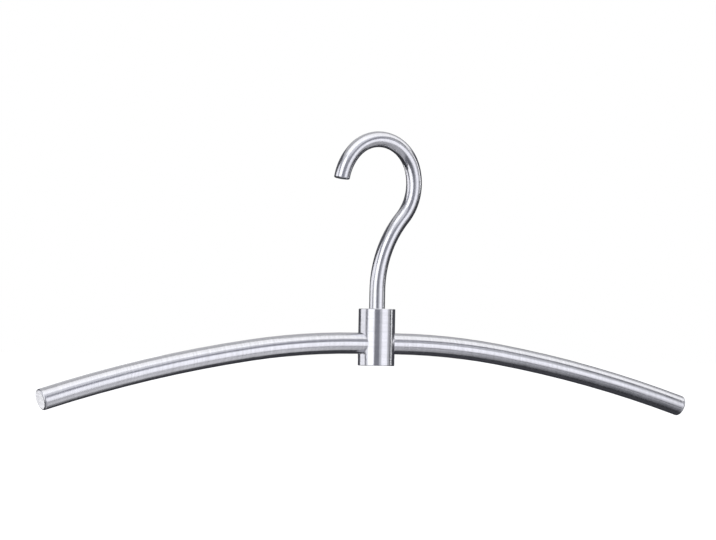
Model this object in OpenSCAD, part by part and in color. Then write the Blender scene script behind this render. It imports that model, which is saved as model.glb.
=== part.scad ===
// Coat hanger in satin stainless steel, millimetres.
// A bent tube runs through a turned hub, and a bent rod hook swivels in the hub's top.
// The origin is the hook's seat: the underside of the crown, straight above the hub's axis.
// +Z is up, and the tube and the hook both lie in the XZ plane.

/* [Shoulder bar] */
// Outside diameter of the tube
tube_d = 12.7; // [10:0.1:15]
// Wall of the tube
tube_wall = 1.2; // [0.8:0.1:2.5]
// Straight stretch at the middle, which passes through the hub
mid_straight = 27; // [24:0.5:60]
// Centre-line radius of the inner bends, next to the hub
inner_bend_r = 480; // [200:5:1500]
// Turn of each inner bend, degrees
inner_bend_turn = 8.5; // [4:0.5:15]
// Centre-line radius of the outer bends
outer_bend_r = 900; // [300:5:3000]
// Turn of each outer bend, degrees
outer_bend_turn = 8.6; // [4:0.1:15]

/* [End plugs] */
// Length of the collar that shows outside the tube
collar_len = 2; // [1.5:0.1:5]
// Rounding of the collar's outer edge
collar_edge_r = 1.1; // [0.3:0.1:1.3]
// Length of the spigot inside the tube
spigot_len = 7; // [4:0.5:8]
// Chamfer at the spigot's inner end
spigot_chamfer = 0.6; // [0.2:0.1:1.5]

/* [Hub] */
// Outside diameter of the turned hub
hub_d = 22; // [20:0.5:30]
// Chamfer on the hub's two outer edges
hub_chamfer = 0.3; // [0.1:0.1:1]
// Thickness of the wall that carries the swivel, at the top
top_wall = 6.5; // [4:0.5:12]
// Bore up the hub's axis, the tapping size of the clamp screw
chamber_d = 11; // [10.4:0.1:12]
// Free height between the shoulder bar and the retaining screw's head
head_room = 3.7; // [1:0.1:8]
// Depth from the hub's lower face to the clamp screw
clamp_recess = 0.3; // [0:0.1:1]

/* [Hook] */
// Diameter of the hook's round rod
rod_d = 9.5; // [9.4:0.1:12]
// Straight height of the rod between the hub and its first bend
neck_len = 11; // [4:0.5:40]
// Angle that the rod leans over, away from the hook's mouth, degrees
lean = 40.5; // [30:0.5:45]
// Centre-line radius of the loop's two sides
side_r = 31.8; // [28:0.1:40]
// Turn of the side above the lean, degrees
side_turn = 58.5; // [50:0.5:70]
// Centre-line radius of the crown, which sits on the rail
crown_r = 23.5; // [20:0.5:26]
// Turn of the crown, degrees
crown_turn = 117; // [90:1:125]
// Turn of the side that ends at the tip, degrees
tip_turn = 36; // [10:1:60]
// Chamfer on the rod's edge at the tip
tip_chamfer = 0.4; // [0.1:0.1:1.5]

/* [Swivel] */
// Diameter of the turned stem below the hook's shoulder
stem_d = 6.9; // [6.2:0.1:7]
// Wall of the bush's sleeve
bush_wall = 1; // [0.6:0.1:1.2]
// Thickness of the bush's flange, under the top wall
bush_flange_t = 0.8; // [0.5:0.1:2]
// Thickness of the retaining washer
washer_t = 1.2; // [0.8:0.1:2]
// Thread diameter of the retaining screw
screw_d = 4; // [3:0.5:4]
// Length of the retaining screw under its head
screw_len = 8; // [6:0.5:12]
// Depth of the tapped hole past the retaining screw's end
hole_spare = 1.5; // [0.5:0.5:3]
// Diameter of the retaining screw's head
head_d = 7.6; // [6:0.1:9]
// Height of the retaining screw's head
head_h = 2.2; // [1.8:0.1:3]
// Rounding of the retaining screw's head
head_edge_r = 0.9; // [0.3:0.1:1.2]
// Width across flats of the retaining screw's socket
head_socket_af = 2.5; // [2:0.1:3]
// Depth of the retaining screw's socket
head_socket_depth = 1.3; // [0.8:0.1:1.5]

/* [Clamp] */
// Thread diameter of the clamp screw, under the bar
clamp_d = 12; // [12:0.5:14]
// Length of the clamp screw
clamp_len = 4.9; // [4:0.1:10]
// Width across flats of the clamp screw's socket
clamp_socket_af = 6; // [4:0.5:7]
// Depth of the clamp screw's socket
clamp_socket_depth = 3; // [2:0.5:3.5]
// Thickness of the pad below the bar's lowest line
pad_foot = 1.8; // [1:0.1:4]
// Height that the pad's saddle rises up the bar's sides
saddle_rise = 1.8; // [0.5:0.1:3]

/* [Clearances] */
// Radial gap of the stem in its bush
swivel_gap = 0.05; // [0.02:0.01:0.1]
// Height that the hub can rise before it meets the hook's shoulder
end_play = 0.2; // [0.1:0.05:0.5]
// Radial gap of the bush in the hub, and of the bar in its cross bore
bore_gap = 0.05; // [0.02:0.01:0.1]
// Radial gap of a screw in its thread, and of a plug's spigot at its tightest place in the tube
thread_gap = 0.05; // [0.02:0.01:0.1]
// Radial gap round the washer, the flange and the pad in the chamber
chamber_gap = 0.2; // [0.1:0.05:0.3]

/* [Hidden] */

// Facets of a small circle, and of a bend's sweep over a full turn
round_fn = 72;
sweep_fn = 720;
// Overrun of a cut past the face that it opens, and of a bent cut in degrees
cut = 1;
cut_turn = 0.1;
flats_to_corners = 1 / cos(30);
// Fine step of a place in the XZ plane
fine_step = 0.001;

steel = "#c9c9cf";
inner_steel = "#a9abb0";
acetal = "#e6e3da";
brass = "#c8a24a";

// Joints of the loop's bends, as angles about the bends' centres from +X towards +Z
side_start = -lean;
crown_start = side_start + side_turn;
crown_end = crown_start + crown_turn;
tip_angle = crown_end + tip_turn;

// The lean's radius that brings the crown over the hub's axis, to the nearest fine step
loop_reach = side_r * cos(lean) - (side_r - crown_r) * cos(crown_start);
lean_bend_r = round(loop_reach / (1 - cos(lean)) / fine_step) * fine_step;

// Centres of the bends, from the neck up and round the loop to the tip
crown_z = rod_d / 2 - crown_r;
loop_rise = (lean_bend_r + side_r) * sin(lean) + (side_r - crown_r) * sin(crown_start);
neck_top = crown_z - loop_rise;
lean_c = [lean_bend_r, neck_top];
side_c = lean_c + (lean_bend_r + side_r) * toward(180 - lean);
crown_c = side_c + (side_r - crown_r) * toward(crown_start);
tip_c = crown_c - (side_r - crown_r) * toward(crown_end);

// Heights down the hub, from its top face to its lower face
hub_top = neck_top - neck_len;
shoulder_z = hub_top + end_play;
ceiling = hub_top - top_wall;
flange_foot = ceiling - bush_flange_t;
washer_foot = flange_foot - washer_t;
head_foot = washer_foot - head_h;
cross_bore_d = tube_d + 2 * bore_gap;
bar_z = head_foot - head_room - cross_bore_d / 2;
pad_z = bar_z - tube_d / 2 - pad_foot;
clamp_z = pad_z - clamp_len;
hub_foot = clamp_z - clamp_recess;

// The bar's bends, measured from the middle of the bar
inner_c = [mid_straight / 2, -inner_bend_r];
outer_start = 90 - inner_bend_turn;
outer_c = inner_c + (inner_bend_r - outer_bend_r) * toward(outer_start);
outer_end = outer_start - outer_bend_turn;
arm_end = outer_c + outer_bend_r * toward(outer_end);

bush_bore_d = stem_d + 2 * swivel_gap;
bush_d = bush_bore_d + 2 * bush_wall;
tube_bore_d = tube_d - 2 * tube_wall;
bore_sag = spigot_len * spigot_len / (2 * outer_bend_r);
spigot_d = tube_bore_d - 2 * (thread_gap + bore_sag);
chamber_fit_d = chamber_d - 2 * chamber_gap;
screw_hole_d = screw_d + 2 * thread_gap;

// Unit vector in the XZ plane at an angle from +X towards +Z
function toward(angle) = [cos(angle), sin(angle)];

// Moves to a point of the XZ plane in three steps, each finer than the last, so that bends meet without a gap
module at_xz(point) {
    whole = [round(point[0]), round(point[1])];
    fine = [for (v = point - whole) round(v / fine_step) * fine_step];
    rest = point - whole - fine;
    translate([whole[0], 0, whole[1]])
        translate([fine[0], 0, fine[1]])
            translate([rest[0], 0, rest[1]])
                children();
}

// Upright cylinder from one height to another
module post(d, from_z, to_z) {
    translate([0, 0, from_z]) cylinder(d = d, h = to_z - from_z, $fn = round_fn);
}

// Round bar bent in the XZ plane about the origin, from one angle for a turn
module bend(d, bend_r, from_angle, turn) {
    rotate([90, 0, 0])
        rotate_extrude(angle = turn, start = from_angle, $fn = sweep_fn)
            translate([bend_r, 0]) circle(d = d, $fn = round_fn);
}

// Upright round stub whose top edge is rounded
module rounded_stub(d, len, edge_r) {
    rotate_extrude($fn = round_fn) {
        square([d / 2, len - edge_r]);
        square([d / 2 - edge_r, len]);
        translate([d / 2 - edge_r, len - edge_r]) circle(r = edge_r, $fn = round_fn);
    }
}

// Hexagonal socket, open at the bottom, from the origin up
module socket(af, depth) {
    translate([0, 0, -cut]) cylinder(d = af * flats_to_corners, h = depth + cut, $fn = 6);
}

// The bar's middle straight at one diameter, from the origin
module mid_bar(d, len) {
    translate([-len / 2, 0, 0]) rotate([0, 90, 0]) cylinder(d = d, h = len, $fn = round_fn);
}

// Turns +Z to the direction of the right arm's end
module at_arm_end() {
    at_xz(arm_end) rotate([0, 180 - outer_end, 0]) children();
}

// The right arm at one diameter, from the middle straight to its end, and past it by an overrun in degrees
module arm(d, overrun) {
    at_xz(inner_c) bend(d, inner_bend_r, outer_start, inner_bend_turn);
    at_xz(outer_c) bend(d, outer_bend_r, outer_end - overrun, outer_bend_turn + overrun);
}

// The whole bent bar at one diameter
module bent_bar(d, overrun) {
    mid_bar(d, mid_straight);
    arm(d, overrun);
    mirror([1, 0, 0]) arm(d, overrun);
}

module shoulder_bar() {
    color(steel)
        translate([0, 0, bar_z])
            difference() {
                bent_bar(tube_d, 0);
                bent_bar(tube_bore_d, cut_turn);
            }
}

// Collar outside the tube, on a spigot that runs from inside the collar into the tube
module end_plug() {
    spigot_r = spigot_d / 2;
    color(steel)
        translate([0, 0, bar_z])
            at_arm_end() {
                rounded_stub(tube_d, collar_len, collar_edge_r);
                rotate_extrude($fn = round_fn)
                    polygon([[0, collar_len / 2], [spigot_r, collar_len / 2],
                             [spigot_r, spigot_chamfer - spigot_len],
                             [spigot_r - spigot_chamfer, -spigot_len], [0, -spigot_len]]);
            }
}

module right_end_plug() { end_plug(); }

module left_end_plug() { mirror([1, 0, 0]) end_plug(); }

module hub() {
    hub_r = hub_d / 2;
    color(steel)
        difference() {
            rotate_extrude($fn = round_fn)
                polygon([[0, hub_foot], [hub_r - hub_chamfer, hub_foot], [hub_r, hub_foot + hub_chamfer],
                         [hub_r, hub_top - hub_chamfer], [hub_r - hub_chamfer, hub_top], [0, hub_top]]);
            post(bush_d + 2 * bore_gap, ceiling - cut, hub_top + cut);
            post(chamber_d, pad_z - cut, ceiling);
            post(clamp_d + 2 * thread_gap, hub_foot - cut, pad_z);
            translate([0, 0, bar_z]) mid_bar(cross_bore_d, hub_d + 2 * cut);
        }
}

// Ring that chamfers the rod's end, with the end's centre at the origin and the rod below
module tip_cutter() {
    edge = rod_d / 2;
    rotate_extrude($fn = round_fn)
        polygon([[edge - tip_chamfer - cut, cut], [edge + cut, cut], [edge + cut, -tip_chamfer - cut]]);
}

// The rod above the hub, with its turned stem through the bush
module hook() {
    color(steel)
        difference() {
            union() {
                post(stem_d, flange_foot, shoulder_z + neck_len / 2);
                at_xz([0, neck_top])
                    mirror([0, 0, 1]) cylinder(d = rod_d, h = neck_top - shoulder_z, $fn = round_fn);
                at_xz(lean_c) bend(rod_d, lean_bend_r, 180 - lean, lean);
                at_xz(side_c) bend(rod_d, side_r, side_start, side_turn);
                at_xz(crown_c) bend(rod_d, crown_r, crown_start, crown_turn);
                at_xz(tip_c) bend(rod_d, side_r, crown_end, tip_turn);
            }
            at_xz(tip_c + side_r * toward(tip_angle)) rotate([0, -tip_angle, 0]) tip_cutter();
            post(screw_hole_d, flange_foot - cut, washer_foot + screw_len + hole_spare);
        }
}

// Flanged sleeve, pushed up into the top wall from below
module swivel_bush() {
    color(acetal)
        difference() {
            union() {
                post(bush_d, flange_foot, hub_top);
                post(chamber_fit_d, flange_foot, ceiling);
            }
            post(bush_bore_d, flange_foot - cut, hub_top + cut);
        }
}

// Washer held against the stem's end, which carries the hub by the bush's flange
module retaining_washer() {
    color(inner_steel)
        difference() {
            post(chamber_fit_d, washer_foot, flange_foot);
            post(screw_hole_d, washer_foot - cut, flange_foot + cut);
        }
}

// Round-headed screw in the stem's tapped hole
module retaining_screw() {
    color(inner_steel)
        difference() {
            union() {
                post(screw_d, head_foot + head_socket_depth, washer_foot + screw_len);
                translate([0, 0, washer_foot])
                    mirror([0, 0, 1]) rounded_stub(head_d, head_h, head_edge_r);
            }
            translate([0, 0, head_foot]) socket(head_socket_af, head_socket_depth);
        }
}

// Pad between the clamp screw and the thin-walled tube, with a saddle cut to the tube
module clamp_pad() {
    color(brass)
        difference() {
            post(chamber_fit_d, pad_z, pad_z + pad_foot + saddle_rise);
            translate([0, 0, bar_z]) mid_bar(tube_d, mid_straight);
        }
}

// Headless screw from below, which lifts the pad against the bar
module clamp_screw() {
    color(inner_steel)
        difference() {
            post(clamp_d, clamp_z, pad_z);
            translate([0, 0, clamp_z]) socket(clamp_socket_af, clamp_socket_depth);
        }
}

hook();
retaining_washer();
retaining_screw();
swivel_bush();
hub();
shoulder_bar();
left_end_plug();
right_end_plug();
clamp_pad();
clamp_screw();
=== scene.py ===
"""Looks of a coat hanger in satin stainless steel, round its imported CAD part.

Metres, +Z up, +Y away from the viewer.
"""
import math
import bpy
from mathutils import Matrix, Vector


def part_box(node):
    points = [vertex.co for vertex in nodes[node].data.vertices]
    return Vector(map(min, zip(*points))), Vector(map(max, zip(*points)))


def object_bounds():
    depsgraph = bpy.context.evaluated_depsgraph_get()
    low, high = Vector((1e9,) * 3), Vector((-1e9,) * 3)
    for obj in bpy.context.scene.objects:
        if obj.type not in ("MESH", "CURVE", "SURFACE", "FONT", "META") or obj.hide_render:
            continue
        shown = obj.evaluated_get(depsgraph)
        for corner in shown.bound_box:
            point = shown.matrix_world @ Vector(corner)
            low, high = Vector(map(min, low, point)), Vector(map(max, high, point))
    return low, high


# The photograph's frame and the camera that its outlines give, about the middle of the bar
IMAGE_W, IMAGE_H = 716, 540
MIDDLE_PX = (376.4, 343.51)
FOCAL_PX = 3583.7
DISTANCE = 2.15
AZIMUTH = math.radians(28.308)
ELEVATION = math.radians(-1.209)
ROLL = math.radians(1.04)
SENSOR_W = 36.0

# The hook's loop, which its grain follows: the crown's centre and radius, and the loop's foot
CROWN_Z = -0.01875
CROWN_R = 0.0235
LOOP_FOOT_Z = -0.042

# How fast the grain changes round a piece, as a share of how fast it changes along its route
ROUND_WIRE = 0.04
ROUND_HUB = 0.03

# Depth of the surface's fine relief
SATIN_RELIEF = 0.00004
INNER_RELIEF = 0.00003

# A rectangular light's watts for one unit of radiance over a square metre
AREA_POWER = 4.0
WHITE = (1.0, 1.0, 1.0)
COOL = (0.97, 0.97, 1.0)

FLOOR_DROP = 0.09
FLOOR_SIZE = 60.0

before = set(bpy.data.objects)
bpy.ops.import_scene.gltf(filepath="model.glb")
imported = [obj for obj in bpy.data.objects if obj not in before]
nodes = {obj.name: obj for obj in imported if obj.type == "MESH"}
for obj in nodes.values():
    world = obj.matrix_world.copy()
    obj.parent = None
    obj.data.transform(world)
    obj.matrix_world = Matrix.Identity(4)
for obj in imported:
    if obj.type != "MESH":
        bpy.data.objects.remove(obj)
cad_low, cad_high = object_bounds()
bar_low, bar_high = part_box("shoulder_bar")
bar_r = (bar_high.y - bar_low.y) / 2
middle = Vector((0, 0, bar_high.z - bar_r))


class Graph:
    """A material or world node tree that is built one linked node at a time."""

    def __init__(self, owner):
        owner.use_nodes = True
        self.tree = owner.node_tree
        self.tree.nodes.clear()

    def fill(self, socket, value):
        """Links a socket to another node's output, or sets it to a plain value."""
        if isinstance(value, bpy.types.NodeSocket):
            self.tree.links.new(value, socket)
        else:
            socket.default_value = value

    def add(self, kind, inputs=None, **settings):
        """A new node with its settings, and its inputs by name or number."""
        node = self.tree.nodes.new(kind)
        for name, value in settings.items():
            setattr(node, name, value)
        for key, value in (inputs or {}).items():
            self.fill(node.inputs[key], value)
        return node

    def math(self, operation, *values):
        return self.add("ShaderNodeMath", dict(enumerate(values)), operation=operation).outputs[0]

    def noise(self, vector, scale, detail=2.0, roughness=0.5):
        inputs = {"Vector": vector, "Scale": scale, "Detail": detail, "Roughness": roughness}
        return self.add("ShaderNodeTexNoise", inputs).outputs["Fac"]

    def spread(self, value, low, high, from_low=0.3, from_high=0.7):
        """A noise value's usual span, mapped to low..high."""
        inputs = {"Value": value, "From Min": from_low, "From Max": from_high, "To Min": low, "To Max": high}
        return self.add("ShaderNodeMapRange", inputs).outputs["Result"]

    def steps(self, value, points):
        """A curve of straight pieces through (value, result) points, level beyond its ends."""
        result = points[0][1]
        for (low, start), (high, end) in zip(points, points[1:]):
            result = self.math("ADD", result, self.spread(value, 0.0, end - start, low, high))
        return result

    def join(self, x, y, z):
        return self.add("ShaderNodeCombineXYZ", {"X": x, "Y": y, "Z": z}).outputs["Vector"]

    def blend(self, factor, first, second):
        """A colour between two, by a factor."""
        mix = self.add("ShaderNodeMix", data_type="RGBA")
        for key, value in {"Factor": factor, "A": first, "B": second}.items():
            self.fill(next(s for s in mix.inputs if s.name == key and s.enabled), value)
        return next(s for s in mix.outputs if s.enabled)

    def shades(self, value, tint, dark, light):
        """A tint that a noise value takes from one share of itself to another."""
        low, high = ((*[c * share for c in tint], 1.0) for share in (dark, light))
        return self.blend(self.spread(value, 0.0, 1.0), low, high)

    def relief(self, height, strength, depth):
        bump = self.add("ShaderNodeBump", {"Strength": strength, "Distance": depth, "Height": height})
        return bump.outputs["Normal"]

    def surface(self, inputs):
        """Ends the tree in a Principled shader."""
        shader = self.add("ShaderNodeBsdfPrincipled", inputs)
        self.add("ShaderNodeOutputMaterial", {"Surface": shader.outputs[0]})


def object_axes(graph):
    """The surface point's place in the part's frame, whole and axis by axis."""
    place = graph.add("ShaderNodeTexCoord").outputs["Object"]
    return place, graph.add("ShaderNodeSeparateXYZ", {"Vector": place}).outputs


def along_bar(graph, axes):
    """Runs along the bar and slowly round it."""
    y = graph.math("MULTIPLY", axes["Y"], ROUND_WIRE)
    z = graph.math("MULTIPLY", axes["Z"], ROUND_WIRE)
    return graph.join(axes["X"], y, z)


def along_hub(graph, axes):
    """Runs down the hub, so that its lines lie round it as a lathe leaves them."""
    x = graph.math("MULTIPLY", axes["X"], ROUND_HUB)
    y = graph.math("MULTIPLY", axes["Y"], ROUND_HUB)
    return graph.join(x, y, axes["Z"])


def along_hook(graph, axes):
    """Runs round the loop about the crown's centre, and down the neck below it."""
    rise = graph.math("SUBTRACT", axes["Z"], CROWN_Z)
    turn = graph.math("ARCTAN2", rise, axes["X"])
    round_loop = graph.math("MULTIPLY", turn, CROWN_R)
    below = graph.math("LESS_THAN", axes["Z"], LOOP_FOOT_Z)
    inputs = {"Factor": below, "A": round_loop, "B": axes["Z"]}
    mix = graph.add("ShaderNodeMix", inputs, data_type="FLOAT")
    return graph.join(mix.outputs["Result"], graph.math("MULTIPLY", axes["Y"], ROUND_WIRE), 0.0)


def satin_steel(name, grain_route, tint=(0.785, 0.785, 0.818), roughness=(0.14, 0.22), lines=0.16):
    """Satin stainless steel: fine lines across the grain's route, cloudy handling marks and faint scuffs."""
    material = bpy.data.materials.new(name)
    graph = Graph(material)
    place, axes = object_axes(graph)
    route = grain_route(graph, axes)
    fine = graph.noise(route, scale=5200.0, detail=4.0, roughness=0.6)
    coarse = graph.noise(route, scale=900.0, detail=3.0, roughness=0.55)
    cloud = graph.noise(place, scale=38.0, detail=4.0, roughness=0.6)
    scuffs = graph.noise(place, scale=260.0, detail=5.0, roughness=0.7)

    rough = graph.spread(cloud, *roughness)
    rough = graph.math("ADD", rough, graph.spread(fine, -0.025, 0.035))
    rough = graph.math("ADD", rough, graph.spread(scuffs, -0.015, 0.03, 0.45, 0.75))
    height = graph.math("ADD", graph.math("MULTIPLY", fine, 0.6), graph.math("MULTIPLY", coarse, 0.4))
    graph.surface({
        "Base Color": graph.shades(coarse, tint, dark=0.93, light=1.05),
        "Metallic": 1.0,
        "Roughness": rough,
        "Normal": graph.relief(height, lines, SATIN_RELIEF)})
    return material


def machined(name, tint, roughness):
    """Bright turned metal of the inner pieces, with rings round the hub's axis."""
    material = bpy.data.materials.new(name)
    graph = Graph(material)
    place, axes = object_axes(graph)
    x_squared = graph.math("POWER", axes["X"], 2.0)
    y_squared = graph.math("POWER", axes["Y"], 2.0)
    radius = graph.math("SQRT", graph.math("ADD", x_squared, y_squared))
    rings = graph.noise(graph.join(radius, axes["Z"], 0.0), scale=3000.0, detail=3.0)
    cloud = graph.noise(place, scale=120.0, detail=4.0)
    graph.surface({
        "Base Color": graph.shades(cloud, tint, dark=0.85, light=1.06),
        "Metallic": 1.0,
        "Roughness": graph.spread(rings, *roughness),
        "Normal": graph.relief(rings, 0.25, INNER_RELIEF)})
    return material


def moulded(name, tint):
    """Matt plastic of the bush, with a fine moulded grain."""
    material = bpy.data.materials.new(name)
    graph = Graph(material)
    place, _ = object_axes(graph)
    grain = graph.noise(place, scale=2500.0, detail=3.0)
    cloud = graph.noise(place, scale=90.0, detail=3.0)
    graph.surface({
        "Base Color": graph.shades(cloud, tint, dark=0.9, light=1.0),
        "Roughness": graph.spread(grain, 0.42, 0.58),
        "IOR": 1.48,
        "Normal": graph.relief(grain, 0.2, INNER_RELIEF)})
    return material


def dress(node, material):
    """Gives a CAD node one material."""
    slots = nodes[node].data.materials
    slots.clear()
    slots.append(material)


def placed(point, right, up, back):
    """The matrix of a camera or light that stands at a point and looks away from back."""
    return Matrix.Translation(point) @ Matrix((right, up, back)).transposed().to_4x4()


def look_frame(azimuth, elevation, roll):
    """Right, up and back of a view. Azimuth 0 looks along +Y, and a positive one stands on the -X side."""
    level = Vector((math.sin(azimuth), math.cos(azimuth), 0))
    ahead = level * math.cos(elevation) - Vector((0, 0, math.sin(elevation)))
    right = Vector((math.cos(azimuth), -math.sin(azimuth), 0))
    up = right.cross(ahead)
    turned_right = math.cos(roll) * right + math.sin(roll) * up
    turned_up = -math.sin(roll) * right + math.cos(roll) * up
    return turned_right, turned_up, -ahead


def make_camera():
    """A camera that shows the bar's middle at its pixel of the photograph, with no lens shift."""
    right, up, back = look_frame(AZIMUTH, ELEVATION, ROLL)
    aside = (MIDDLE_PX[0] - IMAGE_W / 2) / FOCAL_PX * DISTANCE
    rise = (IMAGE_H / 2 - MIDDLE_PX[1]) / FOCAL_PX * DISTANCE
    data = bpy.data.cameras.new("camera")
    data.sensor_width = SENSOR_W
    data.lens = FOCAL_PX * SENSOR_W / IMAGE_W
    camera = bpy.data.objects.new("camera", data)
    camera.matrix_world = placed(middle + back * DISTANCE - right * aside - up * rise, right, up, back)
    bpy.context.scene.collection.objects.link(camera)
    bpy.context.scene.camera = camera


def softbox(name, place, facing, along, width, length, radiance, tint=WHITE):
    """A soft rectangular light at a place measured from the middle of the bar, which faces a direction."""
    back = -Vector(facing).normalized()
    up = Vector(along)
    up = (up - up.dot(back) * back).normalized()
    data = bpy.data.lights.new(name, "AREA")
    data.shape = "RECTANGLE"
    data.size = width
    data.size_y = length
    data.energy = AREA_POWER * radiance * width * length
    data.color = tint
    light = bpy.data.objects.new(name, data)
    light.matrix_world = placed(middle + Vector(place), up.cross(back), up, back)
    light.visible_camera = False
    bpy.context.scene.collection.objects.link(light)


def make_lights():
    """Each light's place, the way it faces, the run of its length, width, length and radiance."""
    down = (0, 0, -1)
    upright = (0, 0, 1)
    softbox("top_light", (0.57, -0.32, 1.0), down, (1, 0.03, 0), 0.95, 2.6, 0.8)
    softbox("high_light", (0.24, 0.08, 1.0), down, (0.62, 0.78, 0), 2.3, 3.5, 0.33)
    softbox("front_light", (0.51, -0.87, -0.1), (-0.35, 0.93, 0), upright, 1.5, 0.68, 0.29, COOL)
    softbox("core_light", (0.36, -0.92, -0.12), (-0.4, 0.9, 0), (0.44, 0.2, 0.88), 0.65, 0.75, 0.45, COOL)
    softbox("left_light", (-2.62, -1.51, 0.44), (0.92, 0.38, 0), (0.17, -0.42, 0.89), 2.1, 4.9, 0.88)
    softbox("rear_light", (-2.73, 1.35, 0.55), (0.81, -0.58, 0), (-0.41, -0.57, 0.72), 1.8, 3.5, 0.78, COOL)
    softbox("rim_light", (2.83, -1.03, 0.76), (-0.96, 0.27, 0), (-0.18, -0.64, 0.75), 0.6, 2.0, 1.0)
    softbox("side_light", (1.44, -1.64, 0.69), (-0.6, 0.6, -0.4), (-0.42, 0.18, 0.89), 0.56, 0.94, 0.25)
    softbox("low_light", (0.01, -0.39, -0.5), upright, (-0.93, -0.37, 0), 1.24, 0.66, 0.23, COOL)
    softbox("low_right_light", (1.18, -0.63, -1.04), (-0.6, 0.4, 0.6), (-0.04, 0.82, -0.58),
            0.97, 1.12, 0.29, COOL)
    softbox("back_light", (0.63, 1.66, 0.48), (-0.3, -0.7, -0.7), (0.84, 0.15, -0.51), 0.9, 1.45, 0.18)
    softbox("end_light", (-1.2, 2.8, -0.72), (1.2, -2.8, 0.72), upright, 0.8, 0.8, 1.0)


def make_world():
    """White to the camera. To everything else, a dim studio, brightest above and on the viewer's side."""
    world = bpy.data.worlds.new("studio")
    bpy.context.scene.world = world
    graph = Graph(world)
    toward = graph.add("ShaderNodeTexCoord").outputs["Generated"]
    height = graph.add("ShaderNodeSeparateXYZ", {"Vector": toward}).outputs["Z"]
    viewer_side = (-math.sin(AZIMUTH), -math.cos(AZIMUTH), 0.0)
    inputs = {0: toward, 1: viewer_side}
    nearness = graph.add("ShaderNodeVectorMath", inputs, operation="DOT_PRODUCT").outputs["Value"]
    by_height = graph.steps(height, ((-1, 0.22), (-0.5, 0.15), (0, 0.27), (0.5, 0.37)))
    by_nearness = graph.steps(nearness, ((-1, 0.3), (-0.5, 0.32), (0, 0.2), (0.5, 1.0)))
    dim = graph.math("MULTIPLY", by_height, by_nearness)
    seen = graph.add("ShaderNodeLightPath").outputs["Is Camera Ray"]
    studio = graph.add("ShaderNodeBackground", {"Color": (0.86, 0.88, 1.0, 1.0), "Strength": dim})
    backdrop = graph.add("ShaderNodeBackground", {"Color": (*WHITE, 1.0), "Strength": 1.0})
    mix = graph.add("ShaderNodeMixShader", {0: seen, 1: studio.outputs[0], 2: backdrop.outputs[0]})
    graph.add("ShaderNodeOutputWorld", {"Surface": mix.outputs[0]})


def make_floor():
    """A plain pale floor under the hanger, which the steel doesn't mirror."""
    half = FLOOR_SIZE / 2
    z = cad_low.z - FLOOR_DROP
    mesh = bpy.data.meshes.new("floor")
    corners = [(-half, -half, z), (half, -half, z), (half, half, z), (-half, half, z)]
    mesh.from_pydata(corners, [], [(0, 1, 2, 3)])
    floor = bpy.data.objects.new("floor", mesh)
    bpy.context.scene.collection.objects.link(floor)
    material = bpy.data.materials.new("pale_floor")
    Graph(material).surface({
        "Base Color": (0.9, 0.9, 0.91, 1.0),
        "Roughness": 0.9,
        "Specular IOR Level": 0.0,
        "Emission Color": (*WHITE, 1.0),
        "Emission Strength": 1.0})
    mesh.materials.append(material)
    floor.visible_glossy = False


dress("shoulder_bar", satin_steel("bar_steel", along_bar))
dress("hook", satin_steel("hook_steel", along_hook))
dress("hub", satin_steel("hub_steel", along_hub, lines=0.12))
plug_steel = satin_steel("plug_steel", along_bar, roughness=(0.2, 0.28))
for plug in ("left_end_plug", "right_end_plug"):
    dress(plug, plug_steel)
inner_steel = machined("inner_steel", (0.60, 0.60, 0.63), (0.22, 0.38))
for piece in ("retaining_washer", "retaining_screw", "clamp_screw"):
    dress(piece, inner_steel)
dress("clamp_pad", machined("turned_brass", (0.76, 0.60, 0.28), (0.25, 0.4)))
dress("swivel_bush", moulded("acetal", (0.88, 0.87, 0.83)))

make_camera()
make_lights()
make_world()
make_floor()
bpy.context.scene.view_settings.view_transform = "Standard"
